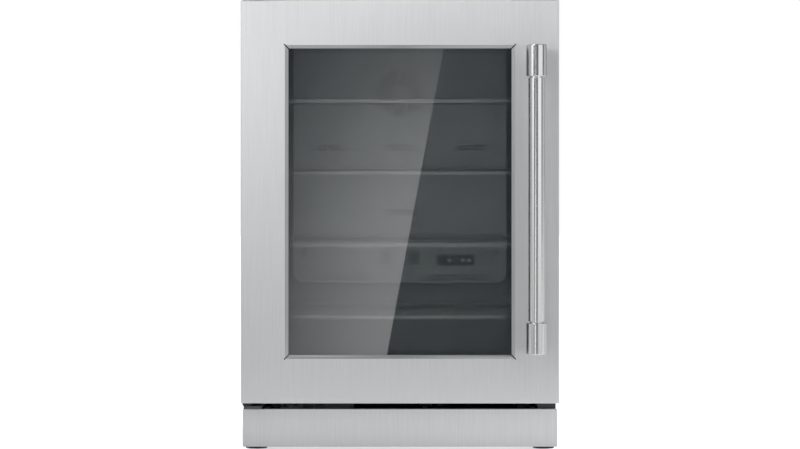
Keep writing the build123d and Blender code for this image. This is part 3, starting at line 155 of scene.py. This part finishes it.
class Shader:
    """A material with one Principled shader, and short calls for the nodes that feed it."""

    def __init__(self, name, color, rough, metallic=0.0, **sockets):
        self.mat = bpy.data.materials.new(name)
        self.mat.use_nodes = True
        self.tree = self.mat.node_tree
        self.bsdf = self.tree.nodes["Principled BSDF"]
        self.set("Base Color", (*color, 1.0))
        self.set("Roughness", rough)
        self.set("Metallic", metallic)
        for key, value in sockets.items():
            self.set(key.replace("_", " "), value)
        self.coords = self.node("ShaderNodeTexCoord").outputs["Object"]

    def set(self, socket, value):
        self.bsdf.inputs[socket].default_value = value

    def node(self, kind, **props):
        made = self.tree.nodes.new(kind)
        for key, value in props.items():
            setattr(made, key, value)
        return made

    def link(self, source, target):
        self.tree.links.new(source, target)

    def stretched(self, scale):
        """Object coordinates, scaled by three numbers."""
        mapping = self.node("ShaderNodeMapping")
        mapping.inputs["Scale"].default_value = scale
        self.link(self.coords, mapping.inputs["Vector"])
        return mapping.outputs["Vector"]

    def noise(self, scale, detail=3.0, rough=0.55):
        """Noise over object coordinates. scale is in features per metre along X, Y and Z."""
        made = self.node("ShaderNodeTexNoise")
        made.inputs["Scale"].default_value = 1.0
        made.inputs["Detail"].default_value = detail
        made.inputs["Roughness"].default_value = rough
        self.link(self.stretched(scale), made.inputs["Vector"])
        return made.outputs["Fac"]

    def cells(self, scale):
        """Voronoi cells over object coordinates, as many per metre as scale says."""
        made = self.node("ShaderNodeTexVoronoi")
        made.inputs["Scale"].default_value = 1.0
        self.link(self.stretched(scale), made.inputs["Vector"])
        return made

    def ramp(self, source, stops):
        return ramp(self.tree, source, stops)

    def maths(self, kind, a, b):
        return maths(self.tree, kind, a, b)

    def color(self, source):
        self.link(source, self.bsdf.inputs["Base Color"])
        return self

    def rough(self, source):
        self.link(source, self.bsdf.inputs["Roughness"])
        return self

    def bump(self, source, strength, distance):
        made = self.node("ShaderNodeBump")
        made.inputs["Strength"].default_value = strength
        made.inputs["Distance"].default_value = distance
        self.link(source, made.inputs["Height"])
        previous = self.bsdf.inputs["Normal"].links
        if previous:
            self.link(previous[0].from_socket, made.inputs["Normal"])
        self.link(made.outputs["Normal"], self.bsdf.inputs["Normal"])
        return self

    def grain_across(self):
        """Turns the stretched highlight so that it spreads level, across upright grain."""
        tangent = self.node("ShaderNodeTangent", direction_type="RADIAL", axis="Z")
        self.link(tangent.outputs["Tangent"], self.bsdf.inputs["Tangent"])
        return self


def tones(color, *factors):
    """Copies of a colour, made lighter or darker."""
    return [tuple(min(1.0, c * f) for c in color) for f in factors]


def even(count):
    """The same scale along X, Y and Z."""
    return (count, count, count)


# ---------------------------------------------------------------- materials
def brushed(name, color, rough):
    """Sheet brushed up and down: long streaks of tone, gloss and relief."""
    fine_scale, coarse_scale, fine_share = (1500.0, 1500.0, 16.0), (380.0, 380.0, 9.0), 0.55
    s = Shader(name, color, rough, 0.9, Anisotropic=0.82)
    s.grain_across()
    streaks = s.noise(fine_scale, 4.0, 0.7)
    coarse = s.noise(coarse_scale, 3.0)
    mixed = s.maths("ADD", s.maths("MULTIPLY", streaks, fine_share),
                    s.maths("MULTIPLY", coarse, 1.0 - fine_share))
    dark, base, light = tones(color, 0.93, 1.0, 1.06)
    s.color(s.ramp(mixed, [(0.3, dark), (0.5, base), (0.7, light)]))
    s.rough(s.ramp(streaks, [(0.3, rough - 0.04), (0.7, rough + 0.05)]))
    return s.bump(streaks, 0.15, 0.00006).mat


def polished(name, color, rough):
    """Polished stainless with hairline scratches and faint haze."""
    s = Shader(name, color, rough, 1.0)
    lines = s.noise((700.0, 700.0, 40.0), 5.0, 0.75)
    haze = s.noise((28.0, 28.0, 12.0), 2.0)
    s.rough(s.ramp(haze, [(0.35, rough), (0.7, rough + 0.05)]))
    dark, light = tones(color, 0.96, 1.03)
    s.color(s.ramp(lines, [(0.35, dark), (0.65, light)]))
    return s.bump(lines, 0.05, 0.00003).mat


def powder_coat(name, color):
    """Powder coated steel with an orange-peel surface."""
    s = Shader(name, color, 0.42, 0.0)
    peel = s.noise(even(620.0), 2.0)
    patches = s.noise(even(7.0), 3.0)
    dark, light = tones(color, 0.9, 1.1)
    s.color(s.ramp(patches, [(0.35, dark), (0.65, light)]))
    s.rough(s.ramp(peel, [(0.35, 0.38), (0.7, 0.5)]))
    return s.bump(peel, 0.3, 0.0002).mat


def galvanised(name, color):
    """Zinc coated sheet with its crystal spangle."""
    s = Shader(name, color, 0.4, 1.0)
    spangle = s.cells(even(125.0))
    dark, light = tones(color, 0.88, 1.06)
    s.color(s.ramp(spangle.outputs["Color"], [(0.2, dark), (0.8, light)]))
    s.rough(s.ramp(spangle.outputs["Color"], [(0.2, 0.32), (0.8, 0.5)]))
    return s.bump(s.noise(even(260.0)), 0.15, 0.0001).mat


def bare_metal(name, color, rough, scale=180.0, metallic=1.0):
    """Metal with a plain grain of tone and gloss."""
    s = Shader(name, color, rough, metallic)
    grain = s.noise(even(scale), 4.0)
    dark, light = tones(color, 0.85, 1.08)
    s.color(s.ramp(grain, [(0.35, dark), (0.65, light)]))
    s.rough(s.ramp(grain, [(0.3, rough - 0.06), (0.7, rough + 0.1)]))
    return s.bump(grain, 0.15, 0.0001).mat


def moulded(name, color, rough=0.5, grain=1600.0, relief=0.00012):
    """Moulded plastic with a fine spark-eroded texture and slight unevenness."""
    s = Shader(name, color, rough)
    fine = s.noise(even(grain), 2.0)
    broad = s.noise(even(11.0), 3.0)
    dark, light = tones(color, 0.88, 1.12)
    s.color(s.ramp(broad, [(0.35, dark), (0.65, light)]))
    s.rough(s.ramp(fine, [(0.35, rough - 0.06), (0.7, rough + 0.08)]))
    return s.bump(fine, 0.35, relief).mat


def glazing(name, face, edge, alpha, ior):
    """A pane: tinted and see-through on its faces, and greener at its cut edges, with faint smears."""
    s = Shader(name, face, 0.03, 0.0, IOR=ior)
    normal = split_coords(s.tree, "Normal")
    facing = s.maths("MAXIMUM", s.maths("ABSOLUTE", normal["Y"], 0.0),
                     s.maths("ABSOLUTE", normal["Z"], 0.0))
    s.color(s.ramp(facing, [(0.5, edge), (0.8, face)]))
    s.link(s.ramp(facing, [(0.5, 0.9), (0.8, alpha)]), s.bsdf.inputs["Alpha"])
    smears = s.noise((14.0, 14.0, 5.0), 4.0)
    s.rough(s.ramp(smears, [(0.45, 0.0), (0.8, 0.035)]))
    s.mat.blend_method = "BLEND"
    return s.mat


def rubber(name, color):
    """Matt rubber with a faint bloom."""
    s = Shader(name, color, 0.62)
    grain = s.noise(even(900.0), 3.0)
    bloom = s.noise(even(24.0), 3.0)
    dark, light = tones(color, 0.85, 1.25)
    s.color(s.ramp(bloom, [(0.4, dark), (0.7, light)]))
    s.rough(s.ramp(grain, [(0.3, 0.55), (0.7, 0.75)]))
    return s.bump(grain, 0.3, 0.00015).mat


def lens():
    """Opal lamp cover with fine ribs across it."""
    s = Shader("opal_lens", (0.9, 0.92, 0.93), 0.3, 0.0, Subsurface_Weight=0.3)
    wave = s.node("ShaderNodeTexWave", bands_direction="X")
    wave.inputs["Scale"].default_value = 90.0
    s.link(s.coords, wave.inputs["Vector"])
    s.color(s.ramp(wave.outputs["Fac"], [(0.2, (0.8, 0.83, 0.85)), (0.8, (0.93, 0.95, 0.96))]))
    return s.bump(wave.outputs["Fac"], 0.5, 0.0004).mat


def foam():
    """Rigid foam with open pores, darker in their pits with painted shade."""
    s = Shader("foam", (0.83, 0.74, 0.5), 0.9)
    pores_and_pit_shade = s.cells(even(900.0))
    # Colour darker where the bump sinks: painted shade in the pore pits.
    s.color(s.ramp(pores_and_pit_shade.outputs["Distance"], [(0.1, (0.7, 0.6, 0.38)), (0.6, (0.86, 0.78, 0.55))]))
    return s.bump(pores_and_pit_shade.outputs["Distance"], 0.6, 0.0006).mat


STAINLESS, SHEET_ROUGH = (0.7, 0.715, 0.72), 0.42
# The window trim's steel is a darkened copy of the door's stainless: painted shade on the slanted trim.
TRIM_PAINTED_SHADE = 0.8
SHELVES = (1, 2, 3, 4)
MATERIALS = {
    "case_paint": powder_coat("case_paint", (0.032, 0.04, 0.043)),
    "brushed_stainless": brushed("brushed_stainless", STAINLESS, SHEET_ROUGH),
    "polished_stainless": polished("polished_stainless", (0.86, 0.87, 0.875), 0.05),
    "galvanised": galvanised("galvanised", (0.55, 0.57, 0.58)),
    "zinc_screw": bare_metal("zinc_screw", (0.66, 0.65, 0.6), 0.32, 700.0),
    "foam": foam(),
    "liner_plastic": moulded("liner_plastic", (0.13, 0.14, 0.145), 0.45),
    "cover_plastic": moulded("cover_plastic", (0.17, 0.185, 0.19), 0.5),
    "fascia_plastic": moulded("fascia_plastic", (0.03, 0.032, 0.034), 0.25, 2400.0, 0.00004),
    "button_plastic": moulded("button_plastic", (0.35, 0.36, 0.37), 0.4),
    "white_lens": lens(),
    "black_plastic": moulded("black_plastic", (0.018, 0.019, 0.02), 0.5),
    "clear_glass": glazing("clear_glass", (0.16, 0.2, 0.2), (0.12, 0.3, 0.25), 0.16, 1.5),
    "tinted_glass": glazing("tinted_glass", (0.012, 0.016, 0.018), (0.02, 0.06, 0.05), 0.5, 2.0),
    "trim_aluminium": bare_metal("trim_aluminium", (0.4, 0.412, 0.416), 0.45, 260.0, 0.88),
    "coil_aluminium": bare_metal("coil_aluminium", (0.72, 0.73, 0.74), 0.36),
    "copper": bare_metal("copper", (0.72, 0.36, 0.2), 0.3, 90.0),
    "compressor_paint": powder_coat("compressor_paint", (0.012, 0.012, 0.013)),
    "rubber_black": rubber("rubber_black", (0.02, 0.02, 0.02)),
    "gasket_rubber": rubber("gasket_rubber", (0.045, 0.05, 0.053)),
}


def paint_cad_nodes():
    """Every CAD node takes the material of its slot in the record."""
    for part in frame["record"]["subparts"]:
        data = NODES[part["node"]].data
        data.materials.clear()
        data.materials.append(MATERIALS[part["material_slot"]])


def repaint(node, material):
    NODES[node].data.materials[0] = material


paint_cad_nodes()
repaint("handle_bar", polished("handle_bar_satin", (0.8, 0.81, 0.815), 0.16))
SHELF_GLASS = glazing("shelf_glass", (0.52, 0.57, 0.57), (0.2, 0.38, 0.33), 0.3, 1.5)
for number in SHELVES:
    repaint(f"shelf_{number}_glass", SHELF_GLASS)
# The window trim gets a darker copy of the door's brushed steel: painted shade.
repaint("window_trim", brushed("window_trim_stainless_painted_shade", tones(STAINLESS, TRIM_PAINTED_SHADE)[0], SHEET_ROUGH))
repaint("duct_cover_screws", bare_metal("dark_zinc", (0.07, 0.07, 0.068), 0.42, 700.0))
repaint("handle_mounts", polished("handle_mount_satin", (0.74, 0.75, 0.755), 0.17))


# ---------------------------------------------------------------- mesh pieces
def piece(name, verts, faces, material, body):
    """A new flat-shaded mesh in the row frame that rides on a body."""
    mesh = bpy.data.meshes.new(name)
    mesh.from_pydata(verts, [], faces)
    mesh.validate()
    mesh.update()
    made = bpy.data.objects.new(name, mesh)
    scene.collection.objects.link(made)
    mesh.materials.append(material)
    for face in mesh.polygons:
        face.use_smooth = False
    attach(made, body)
    return made


def framed(low, high, profile):
    """Vertices and faces of a mitred frame in the XZ plane. profile is a closed list of (inset, y)."""
    verts, faces = [], []
    count = len(profile)
    for inset, y in profile:
        x0, z0, x1, z1 = low[0] + inset, low[2] + inset, high[0] - inset, high[2] - inset
        verts += [(x0, y, z0), (x1, y, z0), (x1, y, z1), (x0, y, z1)]
    for i in range(count):
        j = (i + 1) % count
        for c in range(4):
            d = (c + 1) % 4
            faces.append((4 * i + c, 4 * i + d, 4 * j + d, 4 * j + c))
    return verts, faces


GASKET_WIDTH, GASKET_EDGE = 0.015, 0.0003


def gasket():
    """Magnetic gasket: a bellows between the door and a soft magnet tube, with a wiping lip inside."""
    low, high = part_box("door_gasket")
    back, face, width = low[1], high[1], GASKET_WIDTH
    depth = face - back
    outer = [(0.0015, back), (0.0005, back + 0.18 * depth), (0.003, back + 0.34 * depth),
             (0.0008, back + 0.5 * depth), (0.0, back + 0.66 * depth), (0.0002, face - 0.0009),
             (0.0012, face)]
    inner = [(width - 0.0045, face), (width - 0.0034, face - 0.001),
             (width - 0.0032, back + 0.62 * depth), (width - 0.0052, back + 0.46 * depth),
             (width - 0.0026, back + 0.3 * depth), (width, back + 0.12 * depth), (width, back)]
    verts, faces = framed(low, high, outer + inner)
    made = piece("gasket_bellows", verts, faces, MATERIALS["gasket_rubber"], "door")
    bevel = made.modifiers.new("soft_edges", "BEVEL")
    bevel.width = GASKET_EDGE
    bevel.segments = 2
    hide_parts("door_gasket")


# The dark band past the trim's inner edge, its margin at the pane's rim, and where its two faces lie.
BAND_PAST_TRIM, BAND_MARGIN = 0.0083, 0.001
BAND_NEAR, BAND_FAR = 0.00005, 0.0003


def dotted_dark_band():
    """A near-black coat, broken into fine dots, so that it is partly see-through."""
    s = Shader("dark_dotted_border", (0.004, 0.004, 0.0045), 0.3)
    dots = s.cells(even(1100.0))
    s.link(s.ramp(dots.outputs["Distance"], [(0.3, 0.24), (0.55, 0.03)]), s.bsdf.inputs["Alpha"])
    return s.mat


def glass_border():
    """A dotted dark border on the back of the outer pane, around the window's edge."""
    low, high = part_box("outer_glass")
    near, far = high[1] + BAND_NEAR, high[1] + BAND_FAR
    inner_x = min(abs(v.co.x) for v in NODES["window_trim"].data.vertices)
    inset = (high[0] - inner_x) + BAND_PAST_TRIM
    profile = [(BAND_MARGIN, near), (BAND_MARGIN, far), (inset, far), (inset, near)]
    verts, faces = framed(low, high, profile)
    piece("glass_border", verts, faces, dotted_dark_band(), "door")


gasket()
glass_border()


# ---------------------------------------------------------------- camera, floor and light
def aim(thing, target):
    thing.rotation_euler = (Vector(target) - thing.location).to_track_quat("-Z", "Y").to_euler()


def camera():
    data = bpy.data.cameras.new("camera")
    data.sensor_width = SENSOR_MM
    data.lens = LENS_MM
    data.shift_y = -SHIFT_DOWN
    data.clip_end = CAMERA_REACH
    made = bpy.data.objects.new("camera", data)
    made.location = (0.0, -CAMERA_DISTANCE, CAMERA_HEIGHT)
    made.rotation_euler = (math.radians(90), 0.0, 0.0)
    scene.collection.objects.link(made)
    scene.camera = made


def area_light(name, place, target, size, power, glossy, diffuse):
    data = bpy.data.lights.new(name, "AREA")
    data.shape = "RECTANGLE"
    data.size, data.size_y = size
    data.energy = power
    made = bpy.data.objects.new(name, data)
    made.location = place
    made.visible_camera = False
    made.visible_glossy = glossy
    made.visible_diffuse = diffuse
    scene.collection.objects.link(made)
    aim(made, target)


def stage_mesh(name, corners, material):
    """One flat face of the stage, which is no part of the object."""
    mesh = bpy.data.meshes.new(name)
    mesh.from_pydata(corners, [], [(0, 1, 2, 3)])
    mesh.materials.append(material)
    made = bpy.data.objects.new(name, mesh)
    scene.collection.objects.link(made)
    return made


def floor():
    """A pale floor, which is banded to glossy rays."""
    half = FLOOR_HALF
    s = Shader("floor", (0.93, 0.93, 0.93), 0.7)
    s.color(s.ramp(s.noise(even(3.0)), [(0.3, 0.92), (0.7, 0.94)]))
    s.set("Emission Color", WHITE)
    rays = s.node("ShaderNodeLightPath")
    s.link(s.maths("MULTIPLY", rays.outputs["Is Camera Ray"], FLOOR_CAMERA_GLOW),
           s.bsdf.inputs["Emission Strength"])
    stage_mesh("floor", [(-half, -half, 0), (half, -half, 0), (half, half, 0), (-half, half, 0)], s.mat)
    place = split_coords(s.tree, "Object")
    across = map_range(s.tree, place["X"], FLOOR_RIGHT_SPAN)
    ahead = s.maths("DIVIDE", s.maths("ADD", place["Y"], FLOOR_SPAN), FLOOR_SPAN)
    mirrored = s.node("ShaderNodeEmission")
    s.link(s.maths("MULTIPLY", s.ramp(ahead, FLOOR_BANDS), across), mirrored.inputs["Strength"])
    mixed = s.node("ShaderNodeMixShader")
    s.link(rays.outputs["Is Glossy Ray"], mixed.inputs["Fac"])
    s.link(s.bsdf.outputs["BSDF"], mixed.inputs[1])
    s.link(mirrored.outputs["Emission"], mixed.inputs[2])
    s.link(mixed.outputs["Shader"], s.tree.nodes["Material Output"].inputs["Surface"])


def world():
    """A pale room: white to the camera, and in bands of light and shade to polished metal."""
    made = bpy.data.worlds.new("room")
    scene.world = made
    made.use_nodes = True
    tree = made.node_tree
    tree.nodes.clear()
    node, link = tree.nodes.new, tree.links.new
    ray = split_coords(tree, "Generated")
    angle = maths(tree, "ARCTAN2", ray["X"], maths(tree, "MULTIPLY", ray["Y"], -1.0))
    turn = node("ShaderNodeMapRange")
    turn.inputs["From Min"].default_value = -math.pi
    turn.inputs["From Max"].default_value = math.pi
    link(angle, turn.inputs["Value"])
    bands = ramp(tree, turn.outputs["Result"],
                 [((degrees + 180) / 360, tuple(grey * c for c in ROOM_TINT))
                  for degrees, grey in ROOM_BANDS])
    height = map_range(tree, maths(tree, "ABSOLUTE", ray["Z"]), SKY_SPAN)
    rays = node("ShaderNodeLightPath")
    sky = mixed_color(tree, rays.outputs["Is Glossy Ray"], WHITE, SKY)
    room = mixed_color(tree, height, bands, sky)
    back = node("ShaderNodeBackground")
    link(mixed_color(tree, rays.outputs["Is Camera Ray"], room, WHITE), back.inputs["Color"])
    out = node("ShaderNodeOutputWorld")
    link(back.outputs["Background"], out.inputs["Surface"])


def emission(name, strength=1.0):
    mat = bpy.data.materials.new(name)
    mat.use_nodes = True
    tree = mat.node_tree
    tree.nodes.clear()
    out = tree.nodes.new("ShaderNodeOutputMaterial")
    glow = tree.nodes.new("ShaderNodeEmission")
    glow.inputs["Strength"].default_value = strength
    tree.links.new(glow.outputs["Emission"], out.inputs["Surface"])
    return mat, tree, glow.inputs["Strength"]


def card(name, corners, material):
    """A face that shows only in reflections."""
    made = stage_mesh(name, corners, material)
    made.visible_camera = False
    made.visible_diffuse = False
    made.visible_transmission = False
    made.visible_shadow = False


def reflected_cards():
    """A bright card and a dark one before the door, which meet on a slanted line."""
    left, right, low, high = CARD_REACH
    (x0, z0), (x1, z1) = CARD_EDGE
    slope = (x1 - x0) / (z1 - z0)
    bottom, top = (x0 + (x1 - x0) * (z - z0) / (z1 - z0) for z in (low, high))
    bright, tree, strength = emission("bright_card")
    place = split_coords(tree, "Object")
    from_edge = maths(tree, "ADD", place["X"],
                      maths(tree, "MULTIPLY_ADD", place["Z"], -slope, slope * z0 - x0))
    fade = map_range(tree, from_edge, CARD_EDGE_SPAN)
    tall = map_range(tree, place["Z"], CARD_HEIGHT_SPAN)
    tree.links.new(maths(tree, "MULTIPLY", fade, tall), strength)
    dark, _, _ = emission("dark_card", DARK_STRENGTH)
    y = CARD_Y
    card("bright_card", [(left, y, low), (bottom, y, low), (top, y, high), (left, y, high)], bright)
    card("dark_card", [(bottom, y, low), (right, y, low), (right, y, high), (top, y, high)], dark)


def sheen_card(name, x, span):
    """A card beside the view, for brushed and polished metal. span goes from heights to strengths."""
    mat, tree, strength = emission(name)
    tree.links.new(map_range(tree, split_coords(tree, "Object")["Z"], span), strength)
    (x0, x1), y = x, SHEEN_Y
    card(name, [(x0, y, 0.0), (x1, y, 0.0), (x1, y, SHEEN_TOP), (x0, y, SHEEN_TOP)], mat)


camera()
floor()
world()
reflected_cards()
sheen_card("left_sheen_card", (-0.85, -0.28), (0.05, 0.8, 0.45, 1.25))
sheen_card("right_sheen_card", (0.52, 1.6), (0.05, 0.7, 0.7, 1.0))
for light in LIGHTS:
    area_light(*light)
